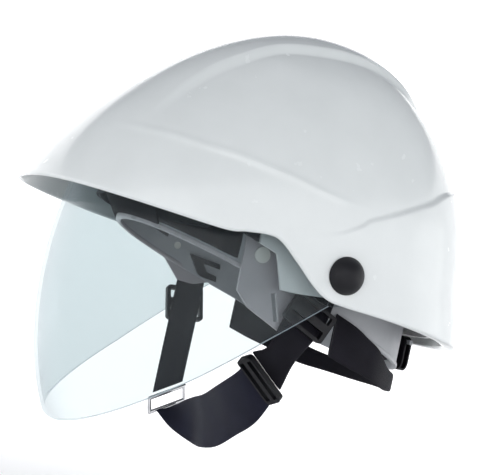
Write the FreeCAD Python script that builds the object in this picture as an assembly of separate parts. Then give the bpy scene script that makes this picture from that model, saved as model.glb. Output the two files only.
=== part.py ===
"""Electrician's hard hat with a retractable face shield, an adjustable harness and a chin strap.

Millimetres.  The origin is the middle of the shield's pivot axis.  +X is the wearer's left,
-Y is the way the wearer faces and +Z is up.  In this file a place is written (x, forward, up),
and at() turns it into a vector, because most of the shape is drawn from the side.
"""
import FreeCAD, Part
import math
import os

Vector = FreeCAD.Vector
SIDES = {"left": 1, "right": -1}

# ---------------------------------------------------------------- driving dimensions
SHELL_HALF_WIDTH = 116.0
SHELL_FRONT = 172.0          # centre of the plan to the end of the peak, before the rim is cut
SHELL_REAR = 113.0
SHELL_HEIGHT = 161.5
SHELL_BASE = -18.0           # height where the dome turns into straight walls
SHELL_CENTRE = 2.5
SHELL_WALL = 3.0
SHELL_PLAN = (2.65, 2.5)     # exponents of the plan, front and rear
SHELL_RISE = (1.60, 2.43, 1.95)   # exponents of the profile, front, side and rear
WALL_DEPTH = 24.0            # how far the straight walls run below the dome

LINER_HALF_WIDTH = 98.0      # the inner shell, which keeps the shield off the wearer's head
LINER_FRONT = 115.5
LINER_REAR = 106.5
LINER_HEIGHT = 147.5
LINER_WALL = 2.0
LINER_PLAN = (2.4, 2.5)
LINER_RISE = (2.05, 2.43, 2.15)
FOAM_WALL = 5.0
FOAM_GAP = 0.3

SHIELD_HALF_WIDTH = 102.6
SHIELD_WALL = 2.5
SHIELD_GAP = 1.6             # shell to shield when it is raised
SHIELD_TRAVEL = 45.0         # degrees
SHIELD_FULLNESS = 2.45       # exponent of the shield's section across the face
SHIELD_BOTTOM = -44.4        # degrees, lowest point of the shield seen from the pivot
SHIELD_TOP = 9.0
LUG_RADIUS = 18.0

PIN_RADIUS = 4.0
RUNNING = 0.06               # radial clearance of a turning pin
KNOB_RADIUS = 10.5
KNOB_HEIGHT = 7.5
BOSS_RADIUS = 9.0
NUT_RADIUS = 7.0

BAND_HALF_WIDTH = 77.0       # inside of the headband
BAND_FRONT = 95.0
BAND_REAR = 89.0
BAND_STRAIGHT = 25.0         # half the straight run at each temple
BAND_CENTRE = 3.0
BAND_WALL = 2.0
BAND_HEIGHT = 30.0
BAND_LOW = 8.0               # lower edge at the brow
BAND_SLOPE = 0.30            # the band drops this much per millimetre towards the nape

RIVET_PLACE = (38.0, 2.0)    # (forward, up) of the strap lug's rivet on each side of the headband
RIVET_RADIUS = 2.5
LUG_WALL = 2.0
LUG_OUTLINE = [(49, 12), (27, 6), (23, -13), (13, -18), (18, -38), (40, -28), (48, -20)]
LUG_SWING = 42.0             # degrees between the two lugs as they hang
LUG_GAP = 0.9                # nape band to strap lug
CLIP_OUTLINE = [(28, -1.5), (5, -4.5), (4.5, -8), (17, -6.5), (13.5, -11.5), (6, -13.2), (5.5, -17),
                (17, -15.5), (20, -13.5)]
CLIP_WALL = 1.6
SEAL_TURN = 30               # the brow seal's reach each way round the headband, in degrees
SEAL_LOW = 2.0               # height of its lower edge on the headband
SEAL_TOP = 26.0              # height at which it meets the inner shell
SEAL_WALL = 1.2
SEAL_GAP = 1.4

ANCHOR_TURNS = {"front_left": 42.0, "front_right": -42.0, "rear_left": 140.0, "rear_right": -140.0}
ANCHOR_UP = {"front": 20.0, "rear": -6.0}
ANCHOR_WIDTH = 24.0
ANCHOR_HEIGHT = 20.0
ANCHOR_DEPTH = 5.0
ANCHOR_GAP = 2.2             # inner shell to the back of a clip
TAB_WIDTH = 14.0
TAB_WALL = 1.6
CROWN_TOP = 98.0
CROWN_WALL = 1.2
CROWN_LIFT = 2.4             # how far one crown strap passes above the other
PAD_RADIUS = 24.0
PAD_DEPTH = 5.0

NAPE_GAP = 0.5               # headband to nape band
REAR_FACE = -(BAND_REAR - BAND_CENTRE + 2 * BAND_WALL + NAPE_GAP)   # outer face of the nape band
HOUSING_WIDTH = 62.0
HOUSING_HEIGHT = 22.0
HOUSING_DEPTH = 4.6
HOUSING_SKIN = 1.0           # wall behind the racks
PINION_PITCH = 5.0           # pitch radius
PINION_TEETH = 10
MODULE = 2 * PINION_PITCH / PINION_TEETH
TOOTH_TIP = 0.85 * MODULE
TOOTH_ROOT = 1.1 * MODULE
SHAFT_RADIUS = 3.0
SHAFT_LENGTH = 6.3
RACK_HEIGHT = 4.0
RACK_WALL = 2.0
RACK_PLAY = 0.3
RACK_OUTER = 34.0            # ends of a rack, measured from the pinion
RACK_INNER = 18.0
RACK_PLAIN = 12.0            # toothless end that is held in the tail
DIAL_RADIUS = 12.0
DIAL_DEPTH = 3.6
RATCHET_UP = -36.0           # height of the ratchet's axis

WEBBING = 20.0
WEBBING_WALL = 1.8
WIRE = 2.6

# The nape strap: turn round the head, then its top and bottom edge above the headband's lower edge.
NAPE_STRAP = [(97, 5, -20), (105, 4, -20), (112, 2, -19.5), (120, 0, -19), (133, -5, -19), (148, -5, -16),
              (164, -5, -14), (180, -5, -13)]
NAPE_OUTSIDE = 2 * BAND_WALL + 2.1
NAPE_BELOW = 2 * BAND_WALL - 1.0

# Each chin strap is a list of its edge points, front edge first, from the helmet downwards.
LEFT_STRAP = [((86.0, 8, 8), (86.0, -13, 1)), ((86.0, 10, -8), (86.0, -10.5, -15.5)),
              ((86.0, 16, -21), (86.0, -7, -31.5)), ((86.0, 20, -35), (86.0, -1.5, -40.5)),
              ((76, 20, -47.5), (76, 2, -54.5)), ((62, 22.5, -52.5), (62, 0.5, -71))]
RIGHT_TOP = ((-86, 30, -20), (-86, 10, -20))
RIGHT_END = ((-62.2, 37, -98.2), (-62.2, 18, -87.2))
CHIN_BAND = [((62, 23, -54.5), (62, 1, -72.5)), ((50, 24, -65.5), (50, 6, -93)),
             ((30, 25, -75.5), (30, 9, -105.5)), ((10, 24, -83), (10, 11, -116)),
             ((-8, 22, -88.5), (-8, 12.5, -121)), ((-30, 19.5, -93), (-30, 13, -122.8)),
             ((-48, 19, -98), (-48, 24, -117.5)), ((-58.5, 19.5, -102.5), (-58.5, 33, -109))]
LOOP_FRONT = (-61.2, 38.5, -102.2)
LOOP_REAR = (-61.2, 16.5, -89.6)
LOOP_DROP = (-2.0, -9.2)


# ---------------------------------------------------------------- small helpers
def at(x, forward, up):
    return Vector(x, -forward, up)


def save(shape, node):
    shape.exportStep("parts/" + node + ".step")


def mirrored(shape):
    return shape.mirror(Vector(0, 0, 0), Vector(1, 0, 0))


def cylinder_x(radius, low, high, forward=0.0, up=0.0):
    return Part.makeCylinder(radius, high - low, at(low, forward, up), Vector(1, 0, 0))


def side_prism(outline, low, high):
    """Extrude a closed outline of (forward, up) points along X."""
    wire = Part.makePolygon([at(low, f, z) for f, z in outline + outline[:1]])
    return Part.Face(wire).extrude(Vector(high - low, 0, 0))


def smooth_prism(curve, closing, low, high):
    """As side_prism, with a smooth curve along the first points and straight closing lines."""
    spline = Part.BSplineCurve()
    spline.interpolate([at(low, f, z) for f, z in curve])
    corners = [curve[-1]] + closing + [curve[0]]
    lines = Part.makePolygon([at(low, f, z) for f, z in corners])
    return Part.Face(Part.Wire([spline.toShape()] + lines.Edges)).extrude(Vector(high - low, 0, 0))


def ribbon(stations, wall, straight=False):
    """Loft a flat strip through pairs of edge points (front edge, rear edge)."""
    middles = [(a + b) * 0.5 for a, b in stations]
    sections = []
    for i, (a, b) in enumerate(stations):
        along = middles[min(i + 1, len(middles) - 1)] - middles[max(i - 1, 0)]
        normal = along.cross(b - a)
        normal.normalize()
        shift = normal * (wall / 2)
        corners = [a + shift, b + shift, b - shift, a - shift]
        sections.append(Part.makePolygon(corners + corners[:1]))
    return Part.makeLoft(sections, True, straight)


def rounded_plate(width, height, depth, radius):
    """A plate centred on the origin, thick along Y, with its corners rounded."""
    plate = Part.makeBox(width, depth, height, Vector(-width / 2, -depth / 2, -height / 2))
    corners = [e for e in plate.Edges if abs(e.tangentAt(e.FirstParameter).y) > 0.99]
    return plate.makeFillet(radius, corners)


# ---------------------------------------------------------------- domes
class Dome:
    """A helmet-shaped dome: superelliptic in plan, with a profile that changes round the head."""

    def __init__(self, half_width, front, rear, height, plan, rise):
        self.half_width = half_width
        self.front = front
        self.rear = rear
        self.height = height
        self.plan_front, self.plan_rear = plan
        self.rise_front, self.rise_side, self.rise_rear = rise

    def inside(self, wall):
        plan = (self.plan_front, self.plan_rear)
        rise = (self.rise_front, self.rise_side, self.rise_rear)
        return Dome(self.half_width - wall, self.front - wall, self.rear - wall,
                    self.height - wall, plan, rise)

    def reach(self, angle, up):
        """Distance from the dome's middle line to its wall, at an angle from forward."""
        c, s = math.cos(angle), abs(math.sin(angle))
        length = self.front if c > 0 else self.rear
        plan = self.plan_front if c > 0 else self.plan_rear
        rise_end = self.rise_front if c > 0 else self.rise_rear
        rise = self.rise_side + (rise_end - self.rise_side) * c * c
        radius = ((s / self.half_width) ** plan + (abs(c) / length) ** plan) ** (-1 / plan)
        level = max(0.0, (up - SHELL_BASE) / self.height)
        return radius * (1 - level ** rise) ** (1 / rise)

    def wall_point(self, angle, up):
        r = self.reach(angle, up)
        return at(r * math.sin(angle), SHELL_CENTRE + r * math.cos(angle), up)

    def level_wire(self, up, count=48):
        points = [self.wall_point(2 * math.pi * i / count, up) for i in range(count)]
        curve = Part.BSplineCurve()
        curve.interpolate(Points=points, PeriodicFlag=True)
        return Part.Wire([curve.toShape()])

    def solid(self, lowest):
        """The filled dome, from its flattened tip down to the lowest level."""
        tip = 0.9985
        turns = [math.asin(tip) * i / 13 for i in range(14)]
        levels = [SHELL_BASE + self.height * math.sin(t) for t in turns]
        levels = [lowest, (lowest + SHELL_BASE) / 2] + levels
        return Part.makeLoft([self.level_wire(z) for z in levels], True, False)

    def profile_radius(self, degrees):
        """Distance from the pivot axis to the dome's middle section, at an angle above forward."""
        slope = math.tan(math.radians(degrees))
        low, high = 0.0, self.front + SHELL_CENTRE
        for _ in range(50):
            forward = (low + high) / 2
            level = max(0.0, (forward * slope - SHELL_BASE) / self.height)
            open_side = 1 - min(level, 1.0) ** self.rise_front
            wall = SHELL_CENTRE + self.front * open_side ** (1 / self.rise_front)
            if forward < wall:
                low = forward
            else:
                high = forward
        return low / math.cos(math.radians(degrees))


outer = Dome(SHELL_HALF_WIDTH, SHELL_FRONT, SHELL_REAR, SHELL_HEIGHT, SHELL_PLAN, SHELL_RISE)
liner = Dome(LINER_HALF_WIDTH, LINER_FRONT, LINER_REAR, LINER_HEIGHT, LINER_PLAN, LINER_RISE)


# ---------------------------------------------------------------- shells
def outer_shell():
    lowest = SHELL_BASE - WALL_DEPTH
    body = outer.solid(lowest).cut(outer.inside(SHELL_WALL).solid(lowest - 5))
    rim = [(200, 25), (164, 21), (120, 15.6), (74, 10.8), (60, 12.0), (48, 13.0), (40, 11.0), (29, 2.0),
           (17, -8.5), (8, -14.0), (-3, -16.0), (-35, -18.4), (-70, -22.6), (-130, -32)]
    below = smooth_prism(rim, [(-130, -80), (200, -80)], -150, 150)
    body = body.cut(below)
    boss_inner = SHIELD_HALF_WIDTH + 2.1
    for sign in (1, -1):
        low, high = sorted((sign * boss_inner, sign * (SHELL_HALF_WIDTH - 1.5)))
        body = body.fuse(cylinder_x(BOSS_RADIUS, low, high))
    return body.cut(cylinder_x(PIN_RADIUS + RUNNING, -130, 130))


def inner_shell():
    lowest = SHELL_BASE - 12
    body = liner.solid(lowest).cut(liner.inside(LINER_WALL).solid(lowest - 5))
    rim = [(140, 24), (118, 22), (74, 14.5), (56, 12), (34, 4), (28, -15), (18, -15), (-3, -13.5),
           (-35, -15.5), (-70, -19.5), (-130, -28)]
    body = body.cut(side_prism(rim + [(-130, -80), (140, -80)], -150, 150))
    return body.cut(cylinder_x(PIN_RADIUS + RUNNING, -130, 130))


def impact_liner():
    """Black foam cap glued inside the inner shell."""
    skin = liner.inside(LINER_WALL + FOAM_GAP)
    body = skin.solid(0).cut(skin.inside(FOAM_WALL).solid(-5))
    rim = [(140, 38), (118, 36), (60, 30), (-60, 26), (-130, 24)]
    return body.cut(side_prism(rim + [(-130, -80), (140, -80)], -150, 150))


# ---------------------------------------------------------------- face shield and its pivots
def shield_radius(degrees):
    """The shield follows the shell's inner face, turned down by its whole travel."""
    return outer.inside(SHELL_WALL * 1.05).profile_radius(degrees + SHIELD_TRAVEL) - SHIELD_GAP


def shield_body(wall, spread):
    """The filled shield, inset by a wall; a spread inner body leaves no closing walls behind."""
    half_width = SHIELD_HALF_WIDTH - wall
    shares = [0.0, 0.25, 0.45, 0.62, 0.75, 0.85, 0.92, 0.965, 0.99, 0.9985]
    places = [-s for s in reversed(shares[1:])] + shares
    low, high = SHIELD_BOTTOM - 8 - spread, SHIELD_TOP + 12 + spread
    angles = [low + (high - low) * i / 12 for i in range(13)]
    sections = []
    for share in places:
        scale = (1 - abs(share) ** SHIELD_FULLNESS) ** (1 / SHIELD_FULLNESS)
        x = share * half_width
        points = []
        for degrees in angles:
            radius = (shield_radius(degrees) - wall) * scale
            a = math.radians(degrees)
            points.append(at(x, radius * math.cos(a), radius * math.sin(a)))
        curve = Part.BSplineCurve()
        curve.interpolate(points)
        back = [points[-1], at(x, -spread, points[-1].z), at(x, -spread, points[0].z), points[0]]
        sections.append(Part.Wire([curve.toShape()] + Part.makePolygon(back).Edges))
    return Part.makeLoft(sections, True, False)


def shield_lens():
    """Clear curved lens with a round lug at each pivot."""
    body = shield_body(0, 1.0).cut(shield_body(SHIELD_WALL, 10.0))
    top = [(220, LUG_RADIUS + 18), (0, LUG_RADIUS)]
    chin_edge = [(0, -LUG_RADIUS), (30, -43), (61, -70), (92, -95), (120, -117.5), (220, -198)]
    body = body.common(side_prism(top + chin_edge, -130, 130))
    inner_face = SHIELD_HALF_WIDTH - SHIELD_WALL
    for low in (inner_face, -SHIELD_HALF_WIDTH):
        body = body.fuse(cylinder_x(LUG_RADIUS, low, low + SHIELD_WALL))
    return body.cut(cylinder_x(PIN_RADIUS, -130, 130))


def knob():
    """Domed cap with a short collar, seen from outside the shell."""
    face = SHELL_HALF_WIDTH + 0.4
    cap_radius = (KNOB_RADIUS ** 2 + KNOB_HEIGHT ** 2) / (2 * KNOB_HEIGHT)
    ball = Part.makeSphere(cap_radius, at(face + KNOB_HEIGHT - cap_radius, 0, 0))
    cap = ball.common(cylinder_x(KNOB_RADIUS, face, face + KNOB_HEIGHT + 1))
    return cap.cut(cylinder_x(PIN_RADIUS, face - 1, face + 3))


def pivot_stack():
    inner_face = SHIELD_HALF_WIDTH - SHIELD_WALL
    nut_face = LINER_HALF_WIDTH - LINER_WALL - 0.9
    ring = cylinder_x(BOSS_RADIUS, SHIELD_HALF_WIDTH + 0.1, SHIELD_HALF_WIDTH + 1.9)
    spacer = cylinder_x(BOSS_RADIUS, LINER_HALF_WIDTH + 0.3, inner_face - 0.3)
    hexagon = [(NUT_RADIUS * math.cos(math.pi * i / 3), NUT_RADIUS * math.sin(math.pi * i / 3))
               for i in range(6)]
    nut = side_prism(hexagon, nut_face - 4, nut_face)
    hole = cylinder_x(PIN_RADIUS, 80, 120)
    return {
        "pivot_pin": cylinder_x(PIN_RADIUS, nut_face - 5, SHELL_HALF_WIDTH + 3.4),
        "pivot_knob": knob(),
        "friction_washer": ring.cut(hole),
        "spacer_washer": spacer.cut(hole),
        "pivot_nut": nut.cut(hole),
    }


# ---------------------------------------------------------------- headband and harness
def band_point(turn, offset, rise):
    """A point on the headband; turn runs 0 at the brow to 180 at the nape, left side positive."""
    half_width = BAND_HALF_WIDTH + offset
    side = 1 if turn >= 0 else -1
    t = abs(turn)
    if t <= 80:
        a = math.radians(t * 90 / 80)
        x = half_width * math.sin(a)
        forward = BAND_CENTRE + BAND_STRAIGHT + (BAND_FRONT - BAND_STRAIGHT + offset) * math.cos(a)
    elif t <= 100:
        x = half_width
        forward = BAND_CENTRE + BAND_STRAIGHT * (90 - t) / 10
    else:
        a = math.radians((t - 100) * 90 / 80)
        x = half_width * math.cos(a)
        forward = BAND_CENTRE - BAND_STRAIGHT - (BAND_REAR - BAND_STRAIGHT + offset) * math.sin(a)
    low = BAND_LOW - BAND_SLOPE * (BAND_CENTRE + BAND_FRONT - forward)
    return at(side * x, forward, low + rise)


def band(turns, offset, wall, low, high):
    """A strip that follows the headband between two heights above its lower edge."""
    middle = offset + wall / 2
    return ribbon([(band_point(t, middle, high), band_point(t, middle, low)) for t in turns], wall)


def band_turns(start, end):
    """Stations every 8 degrees, and every 4 along the straight temples; past 180 they run back."""
    inner = [t for t in range(-180, 361, 4) if start + 2 < t < end - 2
             and (t % 8 == 0 or 80 <= min(abs(t), abs(360 - t)) <= 100)]
    return [t if t <= 180 else t - 360 for t in [start] + inner + [end]]


def headband():
    body = band(band_turns(-97, 97), 0, BAND_WALL, 0, BAND_HEIGHT)
    window = Part.makeBox(30, 60, BAND_HEIGHT * 0.36, at(-15, 120, BAND_LOW + BAND_HEIGHT * 0.34))
    rivet_holes = cylinder_x(RIVET_RADIUS, -BAND_HALF_WIDTH - 5, BAND_HALF_WIDTH + 5, *RIVET_PLACE)
    return body.cut(window).cut(rivet_holes)


def brow_seal():
    """Soft flap over the brow that closes the gap between the headband and the inner shell."""
    skin = liner.inside(LINER_WALL + SEAL_WALL)
    stations = []
    for turn in range(-SEAL_TURN, SEAL_TURN + 1, 6):
        low = band_point(turn, BAND_WALL + SEAL_GAP, SEAL_LOW)
        top = skin.wall_point(math.atan2(low.x, -low.y - SHELL_CENTRE), SEAL_TOP)
        stations.append((top, low))
    return ribbon(stations, SEAL_WALL)


def strap_clip():
    """Two-pronged hook inside the headband that holds the end of the left front strap."""
    face = BAND_HALF_WIDTH - 0.2
    return side_prism(CLIP_OUTLINE, face - CLIP_WALL, face)


def sweatband():
    return band(band_turns(-62, 62), -3.4, 3.0, 9, BAND_HEIGHT + 2)


def strap_lug(side):
    """Plate that carries the front chin strap; the right one is set turned up along the band."""
    sign = SIDES[side]
    inner_face = BAND_HALF_WIDTH + 2 * BAND_WALL + LUG_GAP
    low, high = sorted((sign * inner_face, sign * (inner_face + LUG_WALL)))
    plate = side_prism(LUG_OUTLINE, low, high)
    plate = plate.cut(cylinder_x(RIVET_RADIUS + RUNNING, low - 1, high + 1, *RIVET_PLACE))
    slot = Part.makeBox(20, 3, 16, at(-10, 1.5, -8))
    slot.rotate(Vector(0, 0, 0), Vector(1, 0, 0), 18)
    slot.translate(at(sign * inner_face, 24, -25))
    plate = plate.cut(slot)
    if side == "right":
        plate.rotate(at(0, *RIVET_PLACE), Vector(1, 0, 0), LUG_SWING)
    return plate


def lug_rivet(sign):
    outer_face = BAND_HALF_WIDTH + 2 * BAND_WALL + LUG_WALL + LUG_GAP + 0.1
    shank = cylinder_x(RIVET_RADIUS, BAND_HALF_WIDTH - 0.2, outer_face + 0.5, *RIVET_PLACE)
    head = cylinder_x(RIVET_RADIUS + 2, outer_face + 0.1, outer_face + 1.1, *RIVET_PLACE)
    rivet = shank.fuse(head)
    return rivet if sign > 0 else mirrored(rivet)


def anchor_frame(name):
    """Middle of an anchor clip on the inner shell, and the direction that it faces."""
    up = ANCHOR_UP[name.split("_")[0]]
    angle = math.radians(ANCHOR_TURNS[name])
    skin = liner.inside(LINER_WALL)
    top = up + ANCHOR_HEIGHT / 2
    here = skin.wall_point(angle, top)
    beside = skin.wall_point(angle + 0.02, top) - skin.wall_point(angle - 0.02, top)
    outward = beside.cross(Vector(0, 0, 1))
    outward.normalize()
    if outward.dot(here) < 0:
        outward = outward * -1
    middle = here - outward * (ANCHOR_DEPTH / 2 + ANCHOR_GAP)
    return Vector(middle.x, middle.y, up), outward


def anchor_clip(name):
    middle, outward = anchor_frame(name)
    plate = rounded_plate(ANCHOR_WIDTH, ANCHOR_HEIGHT, ANCHOR_DEPTH, 3)
    slot = Part.makeBox(WEBBING + 0.8, ANCHOR_DEPTH * 3, 3.0, Vector(-(WEBBING + 0.8) / 2, -8, 3))
    plate = plate.cut(slot)
    plate.rotate(Vector(0, 0, 0), Vector(0, 0, 1), math.degrees(math.atan2(outward.y, outward.x)) - 90)
    plate.translate(middle)
    return plate


def suspension_tab():
    """Moulded tab that hangs the headband from the front left anchor clip."""
    middle, outward = anchor_frame("front_left")
    across = outward.cross(Vector(0, 0, 1)) * (TAB_WIDTH / 2)
    foot = band_point(43.0, BAND_WALL + 3.6, BAND_HEIGHT - 9)
    top = middle - outward * (ANCHOR_DEPTH / 2 + 1.1) - Vector(0, 0, 1)
    knee = (top + foot) * 0.5 + Vector(0, 0, 1.0)
    foot_low = foot - Vector(0, 0, 9)
    return ribbon([(p + across, p - across) for p in (top, knee, foot, foot_low)], TAB_WALL)


def crown_strap(front, rear, lift):
    """Webbing that crosses over the head from one front anchor to the opposite rear one."""
    start, start_out = anchor_frame(front)
    end, end_out = anchor_frame(rear)
    start = start - start_out * (ANCHOR_DEPTH / 2 + 3.2) + Vector(0, 0, 2)
    end = end - end_out * (ANCHOR_DEPTH / 2 + 3.2) + Vector(0, 0, 2)
    span = end - start
    across = Vector(span.x, span.y, 0).cross(Vector(0, 0, 1))
    across.normalize()
    stations = []
    for i in range(15):
        t = math.pi * i / 14
        share = (1 - math.cos(t)) / 2
        base = start + span * share
        rise = math.sin(t)
        top = CROWN_TOP + lift
        middle = Vector(base.x, base.y, base.z + (top - base.z) * rise)
        stations.append((middle + across * (WEBBING / 2), middle - across * (WEBBING / 2)))
    return ribbon(stations, CROWN_WALL)


def crown_pad():
    pad = Part.makeCylinder(PAD_RADIUS, PAD_DEPTH, at(0, 3, CROWN_TOP - PAD_DEPTH - 3.6))
    return pad.makeFillet(2, pad.Edges)


# ---------------------------------------------------------------- nape unit
def rear_plate(width, height, depth, radius, rear):
    """A plate whose rear face lies at a given station behind the pivot, centred on the ratchet."""
    plate = rounded_plate(width, height, depth, radius)
    plate.translate(at(0, rear + depth / 2, RATCHET_UP))
    return plate


def ratchet_housing():
    rear = REAR_FACE - HOUSING_DEPTH
    plate = rear_plate(HOUSING_WIDTH, HOUSING_HEIGHT, HOUSING_DEPTH, 6, rear)
    height = 2 * (PINION_PITCH + RACK_HEIGHT + 0.4)
    depth = RACK_WALL + 2 * RACK_PLAY
    corner = at(-HOUSING_WIDTH / 2 - 1, rear + HOUSING_SKIN + depth, RATCHET_UP - height / 2)
    cavity = Part.makeBox(HOUSING_WIDTH + 2, depth, height, corner)
    bore = Part.makeCylinder(SHAFT_RADIUS + RUNNING, 20, at(0, rear + 10, RATCHET_UP), Vector(0, 1, 0))
    return plate.cut(cavity).cut(bore)


def toothed(points):
    """Extrude a toothed outline rearwards by the racks' thickness."""
    wire = Part.makePolygon(points + points[:1])
    return Part.Face(wire).extrude(Vector(0, RACK_WALL, 0))


def rack_station():
    """Front face of the racks and the pinion's teeth inside the housing."""
    return REAR_FACE - HOUSING_DEPTH + HOUSING_SKIN + RACK_WALL + RACK_PLAY


def ratchet_pinion():
    """Ten-tooth pinion with its shaft, which carries the knob behind the housing."""
    tip, root = PINION_PITCH + TOOTH_TIP, PINION_PITCH - TOOTH_ROOT
    points = []
    front = rack_station()
    for i in range(PINION_TEETH):
        middle = -2 * math.pi * (i + 0.5) / PINION_TEETH
        for radius, half in ((root, 0.24), (tip, 0.085), (tip, -0.085), (root, -0.24)):
            a = middle + half
            points.append(at(radius * math.sin(a), front, RATCHET_UP + radius * math.cos(a)))
    teeth = toothed(points)
    shaft = Part.makeCylinder(SHAFT_RADIUS, SHAFT_LENGTH, at(0, front - 0.5, RATCHET_UP), Vector(0, 1, 0))
    return teeth.fuse(shaft)


def rack(side):
    """Toothed strip; the left one runs above the pinion and the right one below it."""
    sign = SIDES[side]
    pitch = math.pi * MODULE
    tip, root = -TOOTH_TIP, TOOTH_ROOT
    count = int((RACK_OUTER - RACK_PLAIN + RACK_INNER) / pitch)
    profile = [(RACK_OUTER, root), (RACK_OUTER, RACK_HEIGHT), (-RACK_INNER, RACK_HEIGHT),
               (-RACK_INNER, root)]
    first = -math.ceil(RACK_INNER / pitch) + 1
    for i in range(first, first + count):
        for place, height in ((-0.34, root), (-0.13, tip), (0.13, tip), (0.34, root)):
            profile.append(((i + place) * pitch, height))
    front = rack_station()
    points = [at(sign * x, front, RATCHET_UP + sign * (PINION_PITCH + h)) for x, h in profile]
    return toothed(points)


def ratchet_knob():
    rear = REAR_FACE - HOUSING_DEPTH - 0.4
    disc = Part.makeCylinder(DIAL_RADIUS, DIAL_DEPTH, at(0, rear, RATCHET_UP), Vector(0, 1, 0))
    reach = DIAL_RADIUS + 0.4
    for i in range(16):
        a = math.radians(22.5 * i)
        foot = at(reach * math.cos(a), rear + 0.5, RATCHET_UP + reach * math.sin(a))
        disc = disc.cut(Part.makeCylinder(1.2, DIAL_DEPTH + 1.4, foot, Vector(0, 1, 0)))
    hole = Part.makeCylinder(SHAFT_RADIUS, DIAL_DEPTH - 0.4, at(0, rear, RATCHET_UP), Vector(0, 1, 0))
    return disc.cut(hole)


def nape_band():
    return band(band_turns(88, 272), BAND_WALL + NAPE_GAP, BAND_WALL, 0, BAND_HEIGHT)


def nape_pad():
    return band(band_turns(156, 204), -3.6, 3.2, 3, BAND_HEIGHT - 3)


def nape_strap():
    """Black textile strap that ties the two chin straps together round the nape."""
    full = NAPE_STRAP + [(-t, top, bottom) for t, top, bottom in NAPE_STRAP[-2::-1]]
    stations = []
    for turn, top, bottom in full:
        offset = NAPE_OUTSIDE if top > -1 else NAPE_BELOW
        stations.append((band_point(turn, offset, top), band_point(turn, offset, bottom)))
    return ribbon(stations, WEBBING_WALL)


# ---------------------------------------------------------------- chin strap
def between(a, b, share):
    return tuple(p + (q - p) * share for p, q in zip(a, b))


def right_strap_places():
    """Straight webbing below the shell, so that its adjuster can slide on it."""
    places = [((-86, 30, 4), (-86, 10, 4)), ((-86, 30, -12), (-86, 10, -12))]
    for share in (0.0, 0.2, 0.4, 0.6, 0.8, 1.0):
        places.append(tuple(between(a, b, share) for a, b in zip(RIGHT_TOP, RIGHT_END)))
    return places


def strip(places, straight=False):
    return ribbon([(at(*a), at(*b)) for a, b in places], WEBBING_WALL, straight)


def across_strap(places, index):
    """Middle, width direction and outward normal of a strap at one of its stations."""
    front, rear = (at(*p) for p in places[index])
    middle = (front + rear) * 0.5
    ahead = [at(*p) for p in places[min(index + 1, len(places) - 1)]]
    behind = [at(*p) for p in places[max(index - 1, 0)]]
    along = ahead[0] + ahead[1] - behind[0] - behind[1]
    width = front - rear
    width.normalize()
    normal = width.cross(along)
    normal.normalize()
    if normal.x * middle.x < 0:
        normal = normal * -1
    return middle, width, normal, normal.cross(width)


def adjuster(places, index, width, height, depth, gap):
    """Flat slider with two slots; the webbing threads through behind its middle bar."""
    middle, across, normal, along = across_strap(places, index)
    plate = rounded_plate(width, height, depth, 2.5)
    for shift in (-0.26, 0.26):
        slot = Part.makeBox(width - 5, depth * 2, height * 0.26,
                            Vector(-(width - 5) / 2, -depth, height * (shift - 0.13)))
        plate = plate.cut(slot)
    place = FreeCAD.Matrix(across.x, normal.x, along.x, 0, across.y, normal.y, along.y, 0,
                           across.z, normal.z, along.z, 0, 0, 0, 0, 1)
    plate = plate.transformGeometry(place) if place.determinant() < 0 else plate.transformed(place)
    plate.translate(middle + normal * (depth / 2 + WEBBING_WALL / 2 + gap))
    return plate


def wire_loop():
    """Rectangular steel loop that joins the webbing to the chin band."""
    top = [at(*LOOP_FRONT), at(*LOOP_REAR)]
    drop = at(0, *LOOP_DROP)
    corners = top + [top[1] + drop, top[0] + drop]
    loop = None
    for i in range(4):
        a, b = corners[i], corners[(i + 1) % 4]
        rod = Part.makeCylinder(WIRE / 2, (b - a).Length, a, b - a)
        ball = Part.makeSphere(WIRE / 2, a)
        loop = rod.fuse(ball) if loop is None else loop.fuse(rod).fuse(ball)
    return loop


# ---------------------------------------------------------------- write the nodes
def build():
    os.makedirs("parts", exist_ok=True)
    save(outer_shell(), "outer_shell")
    save(inner_shell(), "inner_shell")
    save(impact_liner(), "impact_liner")
    save(shield_lens(), "visor_lens")
    for node, shape in pivot_stack().items():
        save(shape, node + "_left")
        save(mirrored(shape), node + "_right")
    save(headband(), "headband")
    save(sweatband(), "sweatband")
    save(brow_seal(), "brow_seal")
    save(strap_clip(), "strap_clip_left")
    save(mirrored(strap_clip()), "strap_clip_right")
    for side, sign in SIDES.items():
        save(strap_lug(side), "strap_lug_" + side)
        save(lug_rivet(sign), "lug_rivet_" + side)
        save(rack(side), "size_rack_" + side)
    for name in ANCHOR_TURNS:
        save(anchor_clip(name), "anchor_clip_" + name)
    save(suspension_tab(), "suspension_tab_left")
    save(mirrored(suspension_tab()), "suspension_tab_right")
    save(crown_strap("front_left", "rear_right", 0.0), "crown_strap_a")
    save(crown_strap("front_right", "rear_left", CROWN_LIFT), "crown_strap_b")
    save(crown_pad(), "crown_pad")
    save(nape_band(), "nape_band")
    save(nape_pad(), "nape_pad")
    save(nape_strap(), "nape_strap")
    save(ratchet_housing(), "ratchet_housing")
    save(ratchet_pinion(), "ratchet_pinion")
    save(ratchet_knob(), "ratchet_knob")
    save(strip(LEFT_STRAP), "chin_strap_left")
    save(strip(right_strap_places(), straight=True), "chin_strap_right")
    save(strip(CHIN_BAND), "chin_band")
    save(adjuster(LEFT_STRAP, 2, 28, 18, 4, 0.8), "strap_adjuster_left")
    save(adjuster(right_strap_places(), 3, 26, 24, 4.5, 1.1), "strap_adjuster_right")
    save(adjuster(LEFT_STRAP, 5, 33, 11, 4, 5.4), "chin_slide")
    save(wire_loop(), "wire_loop")


build()
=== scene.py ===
"""Electrician's hard hat with a clear retractable shield: the looks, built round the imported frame.

Lengths inside the helpers are millimetres, written (x, forward, up) as in the CAD source; at()
turns such a place into the frame's metres.
"""
import math

import bpy
import numpy as np
from mathutils import Matrix, Vector


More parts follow.
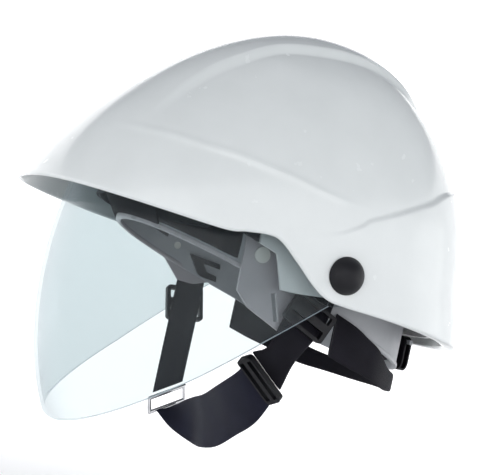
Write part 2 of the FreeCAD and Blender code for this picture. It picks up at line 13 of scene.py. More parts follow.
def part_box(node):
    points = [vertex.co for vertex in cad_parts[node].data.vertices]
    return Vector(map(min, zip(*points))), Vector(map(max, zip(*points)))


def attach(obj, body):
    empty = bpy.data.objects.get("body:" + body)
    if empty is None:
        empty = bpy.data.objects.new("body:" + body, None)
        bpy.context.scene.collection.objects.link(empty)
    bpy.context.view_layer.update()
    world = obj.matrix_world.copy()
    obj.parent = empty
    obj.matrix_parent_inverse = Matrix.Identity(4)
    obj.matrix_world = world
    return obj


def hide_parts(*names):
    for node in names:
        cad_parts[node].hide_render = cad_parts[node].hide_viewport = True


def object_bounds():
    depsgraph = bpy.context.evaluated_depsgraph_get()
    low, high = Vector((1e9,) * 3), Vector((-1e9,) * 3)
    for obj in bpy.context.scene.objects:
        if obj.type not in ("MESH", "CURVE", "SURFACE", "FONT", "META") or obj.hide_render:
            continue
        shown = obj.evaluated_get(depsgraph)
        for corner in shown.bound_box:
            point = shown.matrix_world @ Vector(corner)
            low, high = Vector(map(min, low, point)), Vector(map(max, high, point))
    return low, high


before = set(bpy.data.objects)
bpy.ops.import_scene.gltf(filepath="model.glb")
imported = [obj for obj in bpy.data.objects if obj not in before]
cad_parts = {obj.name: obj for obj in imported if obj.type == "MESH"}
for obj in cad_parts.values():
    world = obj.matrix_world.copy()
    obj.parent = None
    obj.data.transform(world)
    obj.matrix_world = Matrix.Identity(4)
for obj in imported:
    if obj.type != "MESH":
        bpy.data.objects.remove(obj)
cad_low, cad_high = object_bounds()
MM = 0.001


# ---------------------------------------------------------------- camera, light and floor
def make_camera():
    eye = Vector((0.6914, -0.2738, -0.0237))
    aim = Vector((-0.9387, 0.3411, 0.0499)).normalized()
    level = aim.cross(Vector((0, 0, 1))).normalized()
    turn = Matrix.Rotation(-math.radians(12.42), 3, aim)
    right = turn @ level
    up = right.cross(aim)
    data = bpy.data.cameras.new("camera")
    data.lens = 88.0
    data.clip_start = 0.01
    camera = bpy.data.objects.new("camera", data)
    bpy.context.scene.collection.objects.link(camera)
    axes = Matrix((right, up, -aim)).transposed()
    camera.matrix_world = Matrix.Translation(eye) @ axes.to_4x4()
    bpy.context.scene.camera = camera


def area_light(name, place, target, size, power, colour=(1, 1, 1)):
    data = bpy.data.lights.new(name, "AREA")
    data.shape = "RECTANGLE"
    data.size, data.size_y = size
    data.energy = power
    data.color = colour
    light = bpy.data.objects.new(name, data)
    bpy.context.scene.collection.objects.link(light)
    light.location = place
    light.rotation_mode = "QUATERNION"
    light.rotation_quaternion = (Vector(target) - Vector(place)).to_track_quat("-Z", "Y")


# ---------------------------------------------------------------- shader helpers
class Shader:
    """A node material with a short way to add and link nodes."""

    def __init__(self, name):
        self.material = bpy.data.materials.new(name)
        self.material.use_nodes = True
        self.tree = self.material.node_tree
        self.principled = self.tree.nodes["Principled BSDF"]
        self.output = self.tree.nodes["Material Output"]

    def node(self, kind, inputs=None, **settings):
        made = self.tree.nodes.new(kind)
        for key, value in settings.items():
            setattr(made, key, value)
        for key, value in (inputs or {}).items():
            self.feed(value, made.inputs[key])
        return made

    def feed(self, value, socket):
        if isinstance(value, bpy.types.NodeSocket):
            self.tree.links.new(value, socket)
        else:
            socket.default_value = value

    def set(self, **values):
        for key, value in values.items():
            self.feed(value, self.principled.inputs[key.replace("_", " ")])

    def math(self, operation, a, b=0.0):
        return self.node("ShaderNodeMath", {0: a, 1: b}, operation=operation).outputs[0]

    def place(self):
        return self.node("ShaderNodeTexCoord").outputs["Object"]

    def noise(self, per_metre, detail=3.0, roughness=0.5):
        inputs = {"Vector": self.place(), "Scale": per_metre, "Detail": detail, "Roughness": roughness}
        return self.node("ShaderNodeTexNoise", inputs).outputs["Fac"]

    def spread(self, value, low, high, from_low=0.3, from_high=0.7):
        inputs = {"Value": value, "From Min": from_low, "From Max": from_high, "To Min": low, "To Max": high}
        return self.node("ShaderNodeMapRange", inputs).outputs["Result"]

    def tint(self, value, colours):
        ramp = self.node("ShaderNodeValToRGB", {"Fac": value})
        ramp.color_ramp.elements[0].color = (*colours[0], 1)
        ramp.color_ramp.elements[1].color = (*colours[1], 1)
        ramp.color_ramp.elements[0].position = 0.3
        ramp.color_ramp.elements[1].position = 0.7
        return ramp.outputs["Color"]

    def bump(self, height, distance, strength=1.0, under=None):
        inputs = {"Height": height, "Distance": distance, "Strength": strength}
        if under is not None:
            inputs["Normal"] = under
        return self.node("ShaderNodeBump", inputs).outputs["Normal"]


def moulded(name, dark, light, rough, grain=(1400, 0.00004), coat=0.0, wear=0.06, shine=0.5):
    """Moulded plastic: fine grain, patchy gloss, and edges that handling has rubbed."""
    s = Shader(name)
    s.set(Base_Color=s.tint(s.noise(28, 4), (dark, light)))
    edge = s.node("ShaderNodeNewGeometry").outputs["Pointiness"]
    worn = s.spread(edge, 0.0, wear, 0.52, 0.62)
    s.set(Roughness=s.math("ADD", s.spread(s.noise(90, 5), rough * 0.8, rough * 1.25), worn))
    s.set(Normal=s.bump(s.noise(grain[0], 2), grain[1], 0.6, s.bump(s.noise(35, 2), 0.0002, 0.4)))
    s.set(Coat_Weight=coat, Coat_Roughness=0.08, Specular_IOR_Level=shine)
    return s.material


def woven(name, dark, light, pitch=1.5, rough=0.85, depth=0.00022, sheen=0.25):
    """Webbing or cloth: crossing ribs laid out in the piece's own width and length, in millimetres."""
    s = Shader(name)
    uv = s.node("ShaderNodeSeparateXYZ", {0: s.node("ShaderNodeTexCoord").outputs["UV"]})
    across, along = uv.outputs[0], uv.outputs[1]
    turn = 2 * math.pi / pitch
    ribs = s.math("SINE", s.math("MULTIPLY", s.math("ADD", across, along), turn))
    cross = s.math("SINE", s.math("MULTIPLY", s.math("SUBTRACT", across, along), turn))
    weave = s.math("MULTIPLY", s.math("ADD", s.math("MULTIPLY", ribs, cross), 1.0), 0.5)
    fuzz = s.math("ADD", s.math("MULTIPLY", weave, 0.75), s.math("MULTIPLY", s.noise(2500, 3), 0.25))
    patch = s.math("ADD", s.math("MULTIPLY", fuzz, 0.6), s.math("MULTIPLY", s.noise(60, 4), 0.4))
    s.set(Base_Color=s.tint(patch, (dark, light)), Roughness=s.spread(fuzz, rough + 0.1, rough - 0.12))
    s.set(Normal=s.bump(fuzz, depth, 0.9), Sheen_Weight=sheen, Sheen_Roughness=0.4, Specular_IOR_Level=0.15)
    return s.material


def metal(name, colour, rough):
    s = Shader(name)
    streak = s.node("ShaderNodeMapping", {"Vector": s.place(), "Scale": (300, 300, 2500)})
    brushed = s.node("ShaderNodeTexNoise", {"Vector": streak.outputs[0], "Scale": 1.0}).outputs["Fac"]
    s.set(Base_Color=s.tint(s.noise(50, 4), (tuple(c * 0.8 for c in colour), colour)), Metallic=1.0)
    s.set(Roughness=s.spread(brushed, rough * 0.7, rough * 1.4), Normal=s.bump(brushed, 0.00003, 0.5))
    return s.material


def foam(name):
    """Expanded foam: packed beads with pits between them."""
    s = Shader(name)
    beads = s.node("ShaderNodeTexVoronoi", {"Vector": s.place(), "Scale": 420.0}, feature="F1")
    dome = s.math("SUBTRACT", 1.0, beads.outputs["Distance"])
    s.set(Base_Color=s.tint(dome, ((0.006, 0.005, 0.008), (0.022, 0.02, 0.028))), Roughness=0.75)
    s.set(Normal=s.bump(dome, 0.0006, 0.7))
    return s.material


def clear_lens(name, tint, gloss, haze):
    """Clear sheet: see-through, glossier towards grazing, faintly tinted, with pale cut edges."""
    s = Shader(name)
    facing = s.node("ShaderNodeLayerWeight", {"Blend": 0.5}).outputs["Facing"]
    steep = s.math("POWER", facing, 4.0)
    smear = s.spread(s.noise(45, 5), gloss * 0.7, gloss * 1.6)
    shine = s.node("ShaderNodeBsdfGlossy", {"Color": (1, 1, 1, 1), "Roughness": smear})
    through = s.node("ShaderNodeBsdfTransparent", {"Color": (*tint, 1)})
    film = s.node("ShaderNodeBsdfDiffuse", {"Color": (0.72, 0.8, 0.86, 1)})
    veil = s.math("ADD", s.spread(s.noise(25, 4), haze * 0.6, haze * 1.4), s.math("MULTIPLY", steep, 0.3))
    out = s.node("ShaderNodeVectorMath", {0: s.place(), 1: (1.3, 1.0, 0.25)}, operation="MULTIPLY").outputs[0]
    out = s.node("ShaderNodeVectorMath", {0: out}, operation="NORMALIZE").outputs[0]
    normal = s.node("ShaderNodeNewGeometry").outputs["Normal"]
    lean = s.node("ShaderNodeVectorMath", {0: out, 1: normal}, operation="DOT_PRODUCT").outputs["Value"]
    cut_edge = s.spread(s.math("ABSOLUTE", lean), 0.75, 0.0, 0.25, 0.45)
    veil = s.math("MAXIMUM", veil, cut_edge)
    body = s.node("ShaderNodeMixShader", {0: veil, 1: through.outputs[0], 2: film.outputs[0]})
    share = s.math("ADD", 0.006, s.math("MULTIPLY", steep, 0.35))
    mixed = s.node("ShaderNodeMixShader", {0: share, 1: body.outputs[0], 2: shine.outputs[0]})
    s.tree.links.new(mixed.outputs[0], s.output.inputs["Surface"])
    s.tree.nodes.remove(s.principled)
    return s.material


def inner_shell_front_shade(name):
    """White moulded shell whose front is painted matt black: painted shade for the dark space under the peak,
    behind the shield.
    """
    s = Shader(name)
    ahead = s.node("ShaderNodeSeparateXYZ", {0: s.place()}).outputs[1]
    # Mask for the painted shade: black ahead of the temples, white behind.
    coat = s.spread(ahead, 1.0, 0.0, -0.0455, -0.0440)
    white = s.tint(s.noise(28, 4), ((0.70, 0.70, 0.70), (0.80, 0.80, 0.80)))
    black = s.tint(s.noise(60, 4), ((0.006, 0.005, 0.009), (0.014, 0.012, 0.018)))
    colour = s.node("ShaderNodeMix", {0: coat, 6: white, 7: black}, data_type="RGBA").outputs[2]
    s.set(Base_Color=colour, Roughness=s.math("ADD", 0.34, s.math("MULTIPLY", coat, 0.45)))
    s.set(Normal=s.bump(s.noise(1600, 2), 0.00006, 0.6))
    return s.material


MATERIALS = {
    "shell_white": moulded("shell_white", (0.67, 0.70, 0.70), (0.71, 0.74, 0.74), 0.22, (900, 0.00003), 0.5),
    "inner_white": inner_shell_front_shade("inner_white"),
    "foam_black": foam("foam_black"),
    "lens_clear": clear_lens("lens_clear", (0.83, 0.86, 0.865), 0.05, 0.014),
    "knob_black": moulded("knob_black", (0.006, 0.006, 0.008), (0.011, 0.011, 0.014), 0.5,
                           (2200, 0.0001), shine=0.25),
    "steel": metal("steel", (0.62, 0.62, 0.64), 0.3),
    "washer_rubber": moulded("washer_rubber", (0.006, 0.005, 0.007), (0.014, 0.012, 0.015), 0.8, shine=0.1),
    "washer_nylon": moulded("washer_nylon", (0.6, 0.59, 0.55), (0.7, 0.69, 0.66), 0.45),
    "harness_grey": moulded("harness_grey", (0.32, 0.33, 0.35), (0.40, 0.41, 0.43), 0.42),
    "lug_grey": moulded("lug_grey", (0.30, 0.28, 0.30), (0.40, 0.37, 0.39), 0.3, coat=0.3),
    "sweat_fabric": woven("sweat_fabric", (0.004, 0.004, 0.006), (0.014, 0.013, 0.018), 1.1, sheen=0.06),
    "webbing_grey": woven("webbing_grey", (0.18, 0.18, 0.2), (0.34, 0.34, 0.36), 1.6),
    "strap_black": woven("strap_black", (0.003, 0.003, 0.005), (0.013, 0.012, 0.018), 1.5, depth=0.00012,
                         sheen=0.05),
    "band_navy": woven("band_navy", (0.007, 0.007, 0.014), (0.018, 0.019, 0.036), 0.9, depth=0.00008,
                       sheen=0.12),
    "fitting_black": moulded("fitting_black", (0.005, 0.005, 0.007), (0.012, 0.012, 0.015), 0.38, shine=0.25),
    "wire_steel": metal("wire_steel", (0.78, 0.78, 0.80), 0.16),
}


# ---------------------------------------------------------------- mesh helpers
def at(x, forward, up):
    return np.array([x, -forward, up]) * MM


def new_piece(name, points, faces, slot, body, stands_for=(), smooth=True, uv=None):
    mesh = bpy.data.meshes.new(name)
    mesh.from_pydata([tuple(p) for p in points], [], faces)
    if uv is not None:
        layer = mesh.uv_layers.new(name="UVMap")
        corners = np.array([uv[loop.vertex_index] for loop in mesh.loops], np.float32)
        layer.data.foreach_set("uv", corners.ravel())
    mesh.materials.append(MATERIALS[slot])
    mesh.polygons.foreach_set("use_smooth", [smooth] * len(mesh.polygons))
    mesh.validate()
    piece = bpy.data.objects.new(name, mesh)
    bpy.context.scene.collection.objects.link(piece)
    if stands_for:
        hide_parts(*stands_for)
    if body:
        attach(piece, body)
    return piece


def grid_faces(rows, columns, closed=False, start=0):
    """Quads of a grid of points stored row by row; closed joins the last column to the first."""
    faces = []
    last = columns if closed else columns - 1
    for i in range(rows - 1):
        for j in range(last):
            k = (j + 1) % columns
            a, b = start + i * columns, start + (i + 1) * columns
            faces.append((a + j, a + k, b + k, b + j))
    return faces


def smooth_step(value, low, high):
    t = np.clip((value - low) / (high - low), 0, 1)
    return t * t * (3 - 2 * t)


def curve_through(points, count):
    """Evenly spaced places on a Catmull-Rom curve through the points."""
    p = np.array(points, float)
    p = np.vstack([2 * p[0] - p[1], p, 2 * p[-1] - p[-2]])
    fine = []
    for i in range(1, len(p) - 2):
        for t in np.linspace(0, 1, 24, endpoint=False):
            fine.append(0.5 * (2 * p[i] + (p[i + 1] - p[i - 1]) * t
                               + (2 * p[i - 1] - 5 * p[i] + 4 * p[i + 1] - p[i + 2]) * t ** 2
                               + (3 * p[i] - p[i - 1] - 3 * p[i + 1] + p[i + 2]) * t ** 3))
    fine.append(p[-2])
    fine = np.array(fine)
    run = np.r_[0, np.cumsum(np.linalg.norm(np.diff(fine, axis=0), axis=1))]
    steps = np.linspace(0, run[-1], count)
    return np.stack([np.interp(steps, run, fine[:, k]) for k in range(fine.shape[1])], 1)


def height_curve(points):
    """A smooth function through (forward, up) points."""
    smooth = curve_through(sorted(points), 400)
    return lambda forward: np.interp(forward, smooth[:, 0], smooth[:, 1])


# ---------------------------------------------------------------- the domes
SHELL_BASE = -18.0
SHELL_CENTRE = 2.5


class Dome:
    """The CAD's dome: superelliptic in plan, with a profile that changes round the head."""

    def __init__(self, half_width, front, rear, height, plan, rise):
        self.sizes = (half_width, front, rear, height)
        self.plan, self.rise = plan, rise

    def inside(self, wall):
        return Dome(*(size - wall for size in self.sizes), self.plan, self.rise)

    def outline(self, angle):
        half_width, front, rear, _ = self.sizes
        c, s = np.cos(angle), np.abs(np.sin(angle))
        ahead = c > 0
        length = np.where(ahead, front, rear)
        plan = np.where(ahead, self.plan[0], self.plan[1])
        end = np.where(ahead, self.rise[0], self.rise[2])
        rise = self.rise[1] + (end - self.rise[1]) * c * c
        return ((s / half_width) ** plan + (np.abs(c) / length) ** plan) ** (-1 / plan), rise

    def wall(self, angle, up):
        """(x, forward) of the wall at an angle from forward and a height."""
        radius, rise = self.outline(angle)
        level = np.clip((up - SHELL_BASE) / self.sizes[3], 0, 1)
        r = radius * (1 - level ** rise) ** (1 / rise)
        return r * np.sin(angle), SHELL_CENTRE + r * np.cos(angle)

    def height_at(self, x, forward):
        f = forward - SHELL_CENTRE
        radius, rise = self.outline(np.arctan2(x, f))
        share = np.clip(np.hypot(x, f) / radius, 0, 1)
        return SHELL_BASE + self.sizes[3] * (1 - share ** rise) ** (1 / rise)

    def grid(self, rim, columns, rows):
        """Points from the rim to the crown, evenly spaced along each meridian."""
        angle = np.linspace(0, 2 * math.pi, columns, endpoint=False)
        low, high = np.full(columns, -42.0), np.full(columns, 60.0)
        for _ in range(40):
            middle = (low + high) / 2
            below = middle < rim(self.wall(angle, middle)[1])
            low, high = np.where(below, middle, low), np.where(below, high, middle)
        top = SHELL_BASE + self.sizes[3]
        fine = []
        for t in np.linspace(0, 1, 500):
            up = low + (top - low) * math.sin(t * math.pi / 2)
            x, forward = self.wall(angle, up)
            fine.append(np.stack([x, forward, up], 1))
        fine = np.array(fine)
        run = np.cumsum(np.linalg.norm(np.diff(fine, axis=0), axis=2), axis=0)
        run = np.vstack([np.zeros(columns), run])
        out = np.zeros((rows, columns, 3))
        for j in range(columns):
            steps = np.linspace(0, run[-1, j], rows)
            for k in range(3):
                out[:, j, k] = np.interp(steps, run[:, j], fine[:, j, k])
        return out


def normals_of(grid):
    """Outward normals of a dome's grid (rows run upwards, columns run round)."""
    round_way = np.roll(grid, -1, 1) - np.roll(grid, 1, 1)
    up_way = np.gradient(grid, axis=0)
    n = np.cross(up_way, round_way)
    n[-1] = (0, 0, 1)
    n /= np.maximum(np.linalg.norm(n, axis=2, keepdims=True), 1e-9)
    centre = np.array([0, SHELL_CENTRE, 20.0])
    inward = (n * (grid - centre)).sum(2, keepdims=True) < 0
    return np.where(inward, -n, n)


def dome_wall(name, outside, inside, slot, stands_for, lip):
    """A closed wall between two grids, with a rounded lip at the rim."""
    columns = outside.shape[1]
    drop = normals_of(outside)[0]
    across = outside[0] - inside[0]
    down = np.cross(np.roll(outside[0], -1, 0) - np.roll(outside[0], 1, 0), drop)
    down /= np.linalg.norm(down, axis=1, keepdims=True)
    down = np.where(down[:, 2:3] > 0, -down, down)
    rim = [inside[0] + across * share + down * lip * math.sin(math.pi * share)
           for share in (0.12, 0.3, 0.5, 0.7, 0.88)]
    layers = list(inside[1:][::-1]) + [inside[0]] + rim + [outside[0]] + list(outside[1:])
    points = np.array(layers).reshape(-1, 3)
    points = np.stack([points[:, 0], -points[:, 1], points[:, 2]], 1) * MM
    return new_piece(name, points, grid_faces(len(layers), columns, True), slot, "shell", stands_for)


OUTER = Dome(116.0, 172.0, 113.0, 161.5, (2.65, 2.5), (1.60, 2.43, 1.95))
LINER = Dome(98.0, 115.5, 106.5, 147.5, (2.4, 2.5), (2.05, 2.43, 2.15))
RIM = height_curve([(240, 30), (200, 25), (164, 21), (120, 15.6), (74, 10.8), (60, 12.0), (48, 13.0),
                    (40, 11.0), (29, 2.0), (17, -8.5), (8, -14.0), (-3, -16.0), (-35, -18.4), (-70, -22.6),
                    (-130, -32)])
CREASE = height_curve([(150, 57), (118.6, 54.6), (106, 53.9), (87.7, 51.8), (70, 50.4), (52.7, 47.7), (35, 44.6),
                       (20.7, 41.5), (3.2, 39.4), (-30, 38)])
PANEL = height_curve([(170, 74), (119.6, 73.1), (107.2, 70), (94.9, 66.4), (81.5, 62.8), (67, 60.8),
                      (53.7, 57.7), (42.4, 56.7), (19.7, 58.7), (-3, 57), (-30, 53), (-50, 46.4), (-75, 32),
                      (-102, 1)])
COLLAR = height_curve([(60, 8), (35, 13.2), (25, 15.8), (16.6, 18.8), (5.3, 23), (-5, 29), (-8, 32),
                       (-22.5, 38.4), (-35, 44.6), (-50, 51.8), (-64, 60), (-90, 68), (-115, 72)])


def shell_relief(grid):
    """Height of the moulded features above the plain dome, in millimetres along the normal."""
    x, f, z = np.abs(grid[..., 0]), grid[..., 1], grid[..., 2]
    edge = PANEL(f)
    edge_up = OUTER.height_at(edge, f)
    share = np.clip((edge_up - z) / np.maximum(edge_up - CREASE(f), 5), 0, 1)
    length = smooth_step(f, -95, -45) * (1 - smooth_step(f, 84, 122))
    step = smooth_step(x - edge, -1.5, 5.5)
    relief = length * (0.8 * (1 - step) - 2.9 * step * (1 - share) ** 0.9)
    crease = np.exp(-((z - CREASE(f)) / 2.2) ** 2) * smooth_step(f, -2, 22) * (1 - smooth_step(f, 112, 135))
    relief += 0.45 * crease
    rear = smooth_step(-f, -40, 62)
    below = 1 - smooth_step(z - COLLAR(f), -1.2, 1.4)
    relief += below * (0.2 + 1.7 * rear) * smooth_step(-f, -50, -20) * smooth_step(z, 5, 28)
    tail = smooth_step(-f, 20, 85)
    relief += tail * np.interp(z, [-30, -18, 0, 20, 40, 62, 70], [5.5, 4.3, 1.6, -0.4, 0, 0, 0])
    return relief


def outer_shell():
    grid = OUTER.grid(RIM, 640, 230)
    normal = normals_of(grid)
    outside = grid + normal * shell_relief(grid)[..., None]
    inside = grid - normal * 2.9
    inside[-1] = grid[-1] - (0, 0, 2.9)
    return dome_wall("shell_skin", outside, inside, "shell_white", ["outer_shell"], 0.9)


# ---------------------------------------------------------------- straps and bands
def unit(rows):
    return rows / np.maximum(np.linalg.norm(rows, axis=-1, keepdims=True), 1e-9)


def to_frame(points):
    points = np.asarray(points).reshape(-1, 3)
    return np.stack([points[:, 0], -points[:, 1], points[:, 2]], 1) * MM


def tube(name, rings, uv, slot, body, stands_for=()):
    """A closed skin round a list of rings of points, with a cap at each end."""
    count, size = len(rings), len(rings[0])
    faces = grid_faces(count, size, True)
    faces += [tuple(range(size)), tuple(range((count - 1) * size, count * size))[::-1]]
    return new_piece(name, to_frame(rings), faces, slot, body, stands_for, uv=np.asarray(uv).reshape(-1, 2))


def ribbon(name, stations, wall, slot, body, stands_for=(), count=70, cup=0.0, ripple=0.0, waves=3.0):
    """Flat webbing through pairs of edge points, with soft edges, a slight cup and slow ripples."""
    edges = curve_through([tuple(a) + tuple(b) for a, b in stations], count)
    front, rear = edges[:, :3], edges[:, 3:]
    middle = (front + rear) / 2
    width = rear - front
    normal = unit(np.cross(np.gradient(middle, axis=0), width))
    run = np.r_[0, np.cumsum(np.linalg.norm(np.diff(middle, axis=0), axis=1))]
    shares = (1 - np.cos(np.linspace(0, math.pi, 15))) / 2
    half = wall / 2 * (1 - np.abs(2 * shares - 1) ** 7) ** 0.5
    bow = cup * (1 - (2 * shares - 1) ** 2)
    rings, uv = [], []
    for i in range(count):
        wave = ripple * math.sin(waves * math.pi * i / (count - 1)) * (0.6 + 0.4 * np.cos(5 * shares + i / 9))
        base = front[i] + np.outer(shares, width[i])
        top = base + np.outer(half + bow + wave, normal[i])
        bottom = base + np.outer(-half + bow + wave, normal[i])
        rings.append(np.vstack([top, bottom[-2:0:-1]]))
        across = shares * np.linalg.norm(width[i])
        uv += [(u, run[i]) for u in np.r_[across, across[-2:0:-1]]]
    return tube(name, rings, uv, slot, body, stands_for)


BAND = {"half": 77.0, "front": 95.0, "rear": 89.0, "straight": 25.0, "centre": 3.0, "height": 30.0,
        "low": 8.0, "slope": 0.30}


def band_point(turn, offset, rise):
    """A place on the headband; turn runs 0 at the brow to 180 at the nape, left side positive."""
    half, straight, centre = BAND["half"] + offset, BAND["straight"], BAND["centre"]
    side = 1 if turn >= 0 else -1
    t = abs(turn)
    if t <= 80:
        a = math.radians(t * 90 / 80)
        x = half * math.sin(a)
        forward = centre + straight + (BAND["front"] - straight + offset) * math.cos(a)
    elif t <= 100:
        x, forward = half, centre + straight * (90 - t) / 10
    else:
        a = math.radians((t - 100) * 90 / 80)
        x = half * math.cos(a)
        forward = centre - straight - (BAND["rear"] - straight + offset) * math.sin(a)
    low = BAND["low"] - BAND["slope"] * (centre + BAND["front"] - forward)
    return np.array([side * x, forward, low + rise])


def folded(turn):
    return turn if turn <= 180 else turn - 360


def band_sweep(name, turns, section, slot, body, stands_for=(), quilt=0.0, count=90):
    """Sweep a closed (offset, rise) section round the headband; quilt presses seams into a pad."""
    shape = curve_through(section + section[:1], 44)[:-1]
    middle = shape.mean(0)
    round_way = np.r_[0, np.cumsum(np.linalg.norm(np.diff(shape, axis=0), axis=1))]
    rings, uv, run, last = [], [], 0.0, None
    for i, turn in enumerate(np.linspace(*turns, count)):
        end = min(i, count - 1 - i) / 5.0
        swell = min(1.0, 0.35 + 0.65 * math.sqrt(min(end, 1.0)))
        swell *= 1 - quilt * math.exp(-((i % 15 - 7) / 1.2) ** 2)
        ring = np.array([band_point(folded(turn), middle[0] + (o - middle[0]) * swell,
                                    middle[1] + (r - middle[1]) * (0.9 + 0.1 * swell)) for o, r in shape])
        run += 0 if last is None else float(np.linalg.norm(ring[0] - last))
        last = ring[0]
        rings.append(ring)
        uv += [(u, run) for u in round_way]
    return tube(name, rings, uv, slot, body, stands_for)


def band_rail(name, turns, offset, rise, deep, tall, slot, body):
    """A narrow moulded rail along the headband."""
    o, r = offset, rise
    section = [(o, r), (o + deep * 0.5, r - tall * 0.12), (o + deep, r), (o + deep * 1.06, r + tall / 2),
               (o + deep, r + tall), (o + deep * 0.5, r + tall * 1.12), (o, r + tall),
               (o - deep * 0.06, r + tall / 2)]
    return band_sweep(name, turns, section, slot, body, count=70)


def harness():
    # The black fabric on the band's inner face is the real sweatband. Where it runs over the band's outer face,
    # from rise 3.4 to 33, it is painted shade under the shell.
    sweat_and_shade_wrap = [(3.2, 3.4), (3.4, 10), (3.4, 20), (3.3, 28), (2.7, 33.0), (0.8, 34.8), (-1.8, 34.4), (-3.6, 31.5),
            (-4.3, 27), (-4.5, 21), (-4.1, 16), (-3.0, 13.2), (-1.2, 13.0), (-0.45, 15), (-0.4, 22),
            (-0.35, 30.2), (0.9, 31.0), (2.15, 30.2), (2.2, 20), (2.25, 8), (2.3, 3.6)]
    sweat = band_sweep("sweatband_and_shade_pad", (-66, 66), sweat_and_shade_wrap, "sweat_fabric", "shell", ["sweatband"], quilt=0.05)
    nape = [(-0.4, 3.4), (-2.6, 3.0), (-4.0, 6), (-4.6, 15), (-4.0, 24), (-2.6, 27), (-0.4, 26.6),
            (-0.35, 15)]
    pad = band_sweep("nape_cushion", (156, 204), nape, "sweat_fabric", "nape_unit", ["nape_pad"], quilt=0.2,
                     count=61)
    band_rail("headband_lip_low", (-80, 80), -0.5, 0.0, 3.0, 2.4, "lug_grey", "shell")
    band_rail("nape_lip_low", (97, 263), 3.0, 0.0, 2.2, 2.2, "harness_grey", "nape_unit")
    band_rail("nape_lip_high", (97, 263), 3.0, 27.8, 2.2, 2.2, "harness_grey", "nape_unit")


NAPE_STRAP = [(97, 5, -20), (105, 4, -20), (112, 2, -19.5), (120, 0, -19), (133, -5, -19), (148, -5, -16),
              (164, -5, -14), (180, -5, -13)]
LEFT_STRAP = [((86.0, 8, 8), (86.0, -13, 1)), ((86.0, 10, -8), (86.0, -10.5, -15.5)),
              ((86.0, 16, -21), (86.0, -7, -31.5)), ((86.0, 20, -35), (86.0, -1.5, -40.5)),
              ((76, 20, -47.5), (76, 2, -54.5)), ((62, 22.5, -52.5), (62, 0.5, -71))]
RIGHT_STRAP = [((-86, 30, 4), (-86, 10, 4)), ((-86, 30, -12), (-86, 10, -12)),
               ((-86, 30, -20), (-86, 10, -20)),
               ((-74.1, 33.5, -59.1), (-74.1, 14, -53.6)), ((-62.2, 37, -98.2), (-62.2, 18, -87.2))]
CHIN_BAND = [((62, 23, -54.5), (62, 1, -72.5)), ((50, 24, -65.5), (50, 6, -93)),
             ((30, 25, -75.5), (30, 9, -105.5)), ((10, 24, -83), (10, 11, -116)),
             ((-8, 22, -88.5), (-8, 12.5, -121)), ((-30, 19.5, -93), (-30, 13, -122.8)),
             ((-48, 19, -98), (-48, 24, -117.5)), ((-58.5, 19.5, -102.5), (-58.5, 33, -109))]


def straps():
    ribbon("chin_webbing_left", LEFT_STRAP, 1.8, "strap_black", "shell", ["chin_strap_left"], ripple=0.1)
    ribbon("chin_webbing_right", RIGHT_STRAP, 1.8, "strap_black", "shell", ["chin_strap_right"], ripple=0.2)
    band = ribbon("chin_cloth", CHIN_BAND, 1.6, "band_navy", "shell", ["chin_band"], count=110,
                  cup=1.2, ripple=0.5, waves=5.0)
    edges = curve_through([a + b for a, b in CHIN_BAND], 110)
    full = NAPE_STRAP + [(360 - t, top, bottom) for t, top, bottom in NAPE_STRAP[-2::-1]]
    stations = []
    for turn, top, bottom in full:
        offset = 6.6 if top > -1 else 3.9
        stations.append((band_point(folded(turn), offset, top), band_point(folded(turn), offset, bottom)))
    ribbon("nape_webbing", stations, 1.8, "strap_black", "nape_unit", ["nape_strap"], count=140)


def crown():
    """Webbing cradle: two straps that cross above the head, with a pad where they meet."""
    def clip(name):
        low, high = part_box("anchor_clip_" + name)
        middle = (low + high) / 2 / MM
        out = Vector((middle.x, middle.y + SHELL_CENTRE, 0)).normalized()
        place = middle - out * 5.7
        return np.array([place.x, -place.y, place.z + 2])

    for name, front, rear, lift in (("crown_strap_a", "front_left", "rear_right", 0.0),
                                    ("crown_strap_b", "front_right", "rear_left", 2.4)):
        start, end = clip(front), clip(rear)
        span = end - start
        across = unit(np.array([span[1], -span[0], 0.0])) * 10
        stations = []
        for t in np.linspace(0, math.pi, 13):
            base = start + span * (1 - math.cos(t)) / 2
            base[2] += (98.0 + lift - base[2]) * math.sin(t)
            stations.append((base + across, base - across))
        ribbon(name.replace("strap", "webbing"), stations, 1.2, "webbing_grey", "shell", [name],
               count=120, cup=0.3)
    low, high = (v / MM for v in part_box("crown_pad"))
    middle, radius = (low + high) / 2, (high.x - low.x) / 2
    rings, uv = [], []
    profile = [(0.02, -2.2), (0.3, -2.5), (0.6, -2.45), (0.78, -1.6), (0.86, -2.0), (0.97, -1.3), (1.0, 0),
               (0.97, 1.3), (0.86, 1.9), (0.78, 1.5), (0.6, 2.3), (0.3, 2.5), (0.02, 2.3)]
    for share, up in curve_through(profile, 60):
        angles = np.linspace(0, 2 * math.pi, 64, endpoint=False)
        ring = np.stack([middle.x + radius * share * np.cos(angles),
                         -middle.y + radius * share * np.sin(angles),
                         np.full(64, middle.z + up)], 1)
        rings.append(ring)
        uv += [(p[0], p[1]) for p in ring]
    tube("crown_cushion", rings, uv, "sweat_fabric", "shell", ["crown_pad"])


def foam_cap():
    """Foam liner with moulded channels on the side that faces the head."""
    rim = height_curve([(150, 38.5), (118, 36), (60, 30), (-60, 26), (-130, 24)])
    skin = LINER.inside(2.3)
    grid = skin.grid(rim, 240, 80)
    normal = normals_of(grid)
    angle = np.arctan2(grid[..., 0], grid[..., 1] - SHELL_CENTRE)
    channel = smooth_step(np.cos(angle * 8), 0.75, 0.95) * smooth_step(grid[..., 2], 42, 52)
    channel *= 1 - smooth_step(grid[..., 2], 98, 108)
    inside = grid - normal * (5.0 - 1.8 * channel)[..., None]
    inside[-1] = grid[-1] - (0, 0, 5.0)
    dome_wall("foam_liner", grid, inside, "foam_black", ["impact_liner"], 0.8)


# ---------------------------------------------------------------- build
make_camera()
outer_shell()
harness()
straps()
crown()
foam_cap()


BEVEL_WIDTH = 0.3 * MM
PLAIN_NODES = ("visor_lens", "outer_shell", "impact_liner")


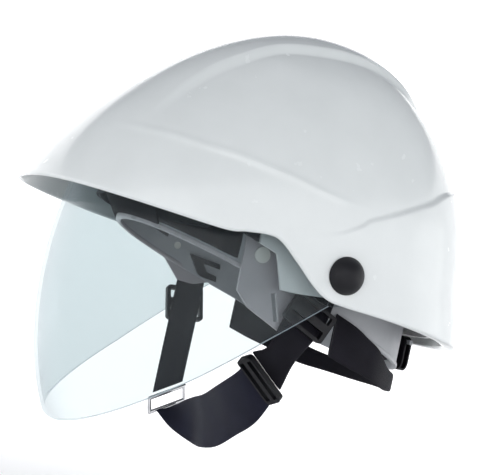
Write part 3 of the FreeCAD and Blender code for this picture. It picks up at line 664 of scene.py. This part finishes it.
def finish_nodes():
    """Every CAD node takes its slot's material, and soft edges where it still shows."""
    for name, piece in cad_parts.items():
        slot = next((m.name.split(".")[0] for m in piece.data.materials if m), "harness_grey")
        piece.data.materials.clear()
        piece.data.materials.append(MATERIALS.get(slot, MATERIALS["harness_grey"]))
        if name not in PLAIN_NODES:
            bevel = piece.modifiers.new("soft_edges", "BEVEL")
            bevel.width = BEVEL_WIDTH
            bevel.segments = 2
            bevel.angle_limit = math.radians(35)


finish_nodes()


def stage():
    """A pale floor that sweeps up into a round wall, so there is no horizon."""
    floor_up = cad_low.z - 0.25
    profile = [(0.0, 0.0), (0.6, 0.0), (1.4, 0.0), (2.2, 0.0)]
    profile += [(2.2 + 0.8 * math.sin(a), 0.8 - 0.8 * math.cos(a))
                for a in np.linspace(0.15, math.pi / 2, 12)]
    profile += [(3.0, 1.2), (3.0, 2.0)]
    count = 96
    points, faces = [], grid_faces(len(profile), count, True)
    for radius, up in profile:
        for i in range(count):
            a = 2 * math.pi * i / count
            points.append((max(radius, 0.001) * math.cos(a), max(radius, 0.001) * math.sin(a), floor_up + up))
    mesh = bpy.data.meshes.new("floor")
    mesh.from_pydata(points, [], faces)
    mesh.polygons.foreach_set("use_smooth", [True] * len(mesh.polygons))
    s = Shader("floor_pale")
    spot = s.node("ShaderNodeVectorMath", {0: s.place(), 1: (1, 1, 0)}, operation="MULTIPLY").outputs[0]
    away = s.node("ShaderNodeVectorMath", {0: spot}, operation="LENGTH").outputs["Value"]
    s.set(Base_Color=s.tint(s.noise(1.5, 2), ((0.86, 0.86, 0.86), (0.89, 0.89, 0.89))), Roughness=0.9)
    s.set(Emission_Color=(1, 1, 1, 1), Emission_Strength=s.spread(away, 0.12, 0.66, 0.9, 1.9))
    mesh.materials.append(s.material)
    floor = bpy.data.objects.new("floor", mesh)
    bpy.context.scene.collection.objects.link(floor)


def lighting():
    stage()
    world = bpy.data.worlds.new("world")
    bpy.context.scene.world = world
    world.use_nodes = True
    background = world.node_tree.nodes["Background"]
    background.inputs["Color"].default_value = (0.85, 0.9, 1.0, 1)
    background.inputs["Strength"].default_value = 0.3
    area_light("key", (1.6, -1.1, 0.5), (0, 0, 0.03), (1.4, 1.0), 3)
    area_light("fill", (0.6, 1.9, 0.3), (0, 0, 0.03), (1.2, 1.0), 3)
    area_light("top", (-0.2, -0.1, 1.6), (0, 0, 0.03), (0.6, 1.4), 0.8)
    view = bpy.context.scene.view_settings
    view.view_transform = "Standard"


lighting()
